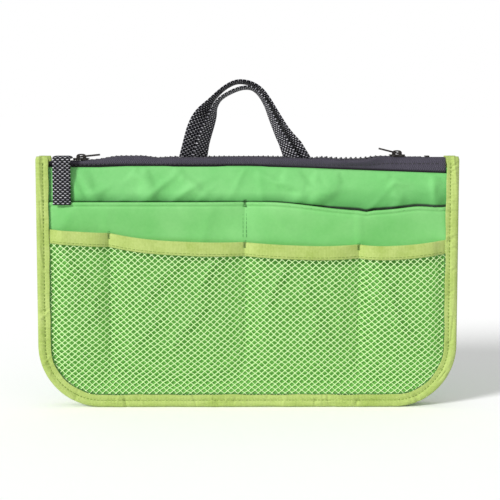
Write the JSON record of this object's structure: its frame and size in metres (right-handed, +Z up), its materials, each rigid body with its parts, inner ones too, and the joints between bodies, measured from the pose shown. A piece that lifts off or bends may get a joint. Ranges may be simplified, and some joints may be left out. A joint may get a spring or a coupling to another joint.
{
  "type": "purse organizer insert",
  "caption": "Slim padded green nylon purse organizer with an open top zipper, dark webbing handles, a front mesh pocket, slip pockets and lime edge binding.",
  "frame": {"origin": "centre of the overall footprint, on the surface that the organizer stands on", "axes": "+X across the width to the viewer's right, -Y towards the front with the mesh pocket, +Z up"},
  "size_m": [0.3, 0.0306, 0.2332],
  "materials": {
    "nylon": "soft sheen",
    "lining_cloth": "matte",
    "foam": "matte",
    "lime_tape": "matte",
    "net_thread": "matte",
    "zipper_tape": "matte",
    "zipper_teeth": "satin",
    "gunmetal": "satin",
    "webbing": "matte"
  },
  "bodies": {
    "bag": {"front_shell_panel": "nylon", "back_shell_panel": "nylon", "front_slip_pocket": "nylon", "back_slip_pocket": "nylon", "gusset": "nylon", "front_lining": "lining_cloth", "back_lining": "lining_cloth", "front_padding": "foam", "back_padding": "foam", "mesh_pocket_band": "lime_tape", "front_edge_binding": "lime_tape", "back_edge_binding": "lime_tape", "front_mesh_pocket": "net_thread", "front_zipper_tape": "zipper_tape", "back_zipper_tape": "zipper_tape", "front_zipper_teeth": "zipper_teeth", "back_zipper_teeth": "zipper_teeth", "left_end_stop": "gunmetal", "right_end_stop": "gunmetal", "front_handle_left_end": "webbing", "front_handle_right_end": "webbing", "back_handle_left_end": "webbing", "back_handle_right_end": "webbing"},
    "left_slider_body": {"left_slider": "gunmetal"},
    "left_pull_tab": {"left_pull": "gunmetal"},
    "right_slider_body": {"right_slider": "gunmetal"},
    "right_pull_tab": {"right_pull": "gunmetal"},
    "front_handle_loop": {"front_handle": "webbing"},
    "back_handle_loop": {"back_handle": "webbing"},
    "end_tab": {"zipper_end_tab": "webbing"}
  },
  "joints": [
    {"name": "left_slider_travel", "type": "slide", "parent": "bag", "child": "left_slider_body", "axis": [1, 0, 0], "range_m": [0, 0.06], "deforming": ["front_zipper_tape", "back_zipper_tape", "front_zipper_teeth", "back_zipper_teeth"]},
    {"name": "right_slider_travel", "type": "slide", "parent": "bag", "child": "right_slider_body", "axis": [1, 0, 0], "range_m": [-0.05, 0.014], "deforming": ["front_zipper_tape", "back_zipper_tape", "front_zipper_teeth", "back_zipper_teeth"]},
    {"name": "left_pull_tilt", "type": "hinge", "parent": "left_slider_body", "child": "left_pull_tab", "pos_m": [-0.1183, 0.00112, 0.17965], "axis": [0, -1, 0], "range_deg": [0, 150]},
    {"name": "right_pull_tilt", "type": "hinge", "parent": "right_slider_body", "child": "right_pull_tab", "pos_m": [0.1065, 0.00112, 0.18215], "axis": [0, 1, 0], "range_deg": [-8, 136]},
    {"name": "front_handle_swing", "type": "hinge", "parent": "bag", "child": "front_handle_loop", "pos_m": [-0.002, -0.00387, 0.18785], "axis": [1, 0, 0], "range_deg": [-1, 150]},
    {"name": "back_handle_swing", "type": "hinge", "parent": "bag", "child": "back_handle_loop", "pos_m": [-0.003, 0.00613, 0.18785], "axis": [1, 0, 0], "range_deg": [-150, 1]},
    {"name": "end_tab_flip", "type": "hinge", "parent": "bag", "child": "end_tab", "pos_m": [-0.13095, 0.00458, 0.17858], "axis": [-1, 0, 0], "range_deg": [0, 150]}
  ]
}
